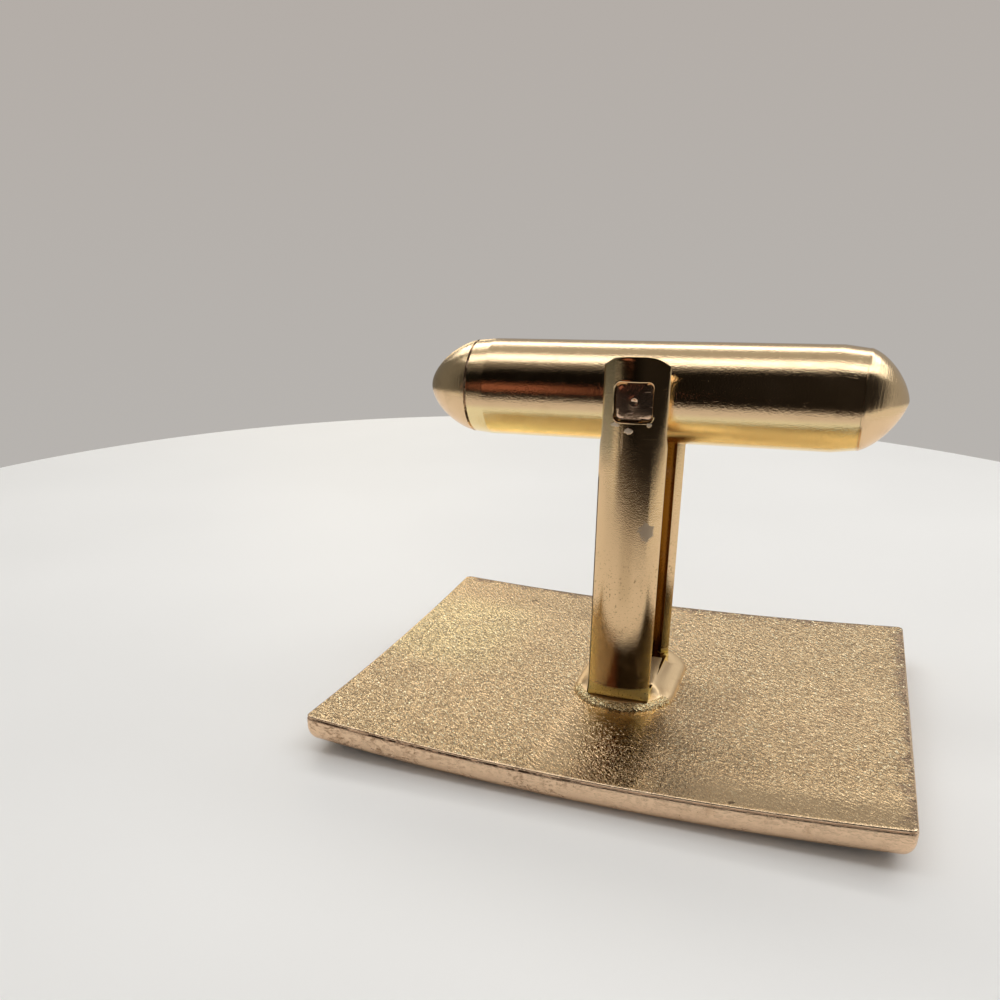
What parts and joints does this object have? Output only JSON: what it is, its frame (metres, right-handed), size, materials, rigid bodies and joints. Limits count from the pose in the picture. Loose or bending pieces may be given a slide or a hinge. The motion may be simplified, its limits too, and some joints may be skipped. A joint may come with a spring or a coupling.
{
  "type": "cufflink",
  "caption": "Cufflink with a domed rectangular face in coloured enamel, a two-legged gilt post and a bullet-shaped swivelling toggle bar.",
  "frame": {"origin": "lowest point of the domed face, which lies downwards, under the middle of the plate", "axes": "+X along the plate's long side and the toggle at rest, +Y along the hinge pin, +Z from the face up the post"},
  "size_m": [0.0242, 0.02, 0.0165],
  "materials": {
    "gilt": "polished pale gold plate with light wear",
    "satin_gilt": "satin pale gold plate",
    "black_enamel": "glossy opaque enamel",
    "green_enamel": "glossy translucent enamel",
    "blue_enamel": "glossy translucent enamel",
    "spring_steel": "plain spring strip"
  },
  "bodies": {
    "front": {"face_plate": "gilt", "enamel_black_near_left": "black_enamel", "enamel_black_near_right": "black_enamel", "enamel_black_far_left": "black_enamel", "enamel_black_far_right": "black_enamel", "enamel_green_ring": "green_enamel", "enamel_blue_oval": "blue_enamel", "solder_pad": "satin_gilt", "post": "gilt", "pivot_pin": "satin_gilt"},
    "toggle": {"toggle_tube": "gilt", "nose_left": "gilt", "nose_right": "gilt", "leaf_spring": "spring_steel"}
  },
  "joints": [
    {"name": "toggle_swivel", "type": "hinge", "parent": "front", "child": "toggle", "pos_m": [0, 0, 0.0145], "axis": [0, 1, 0], "continuous": true}
  ]
}
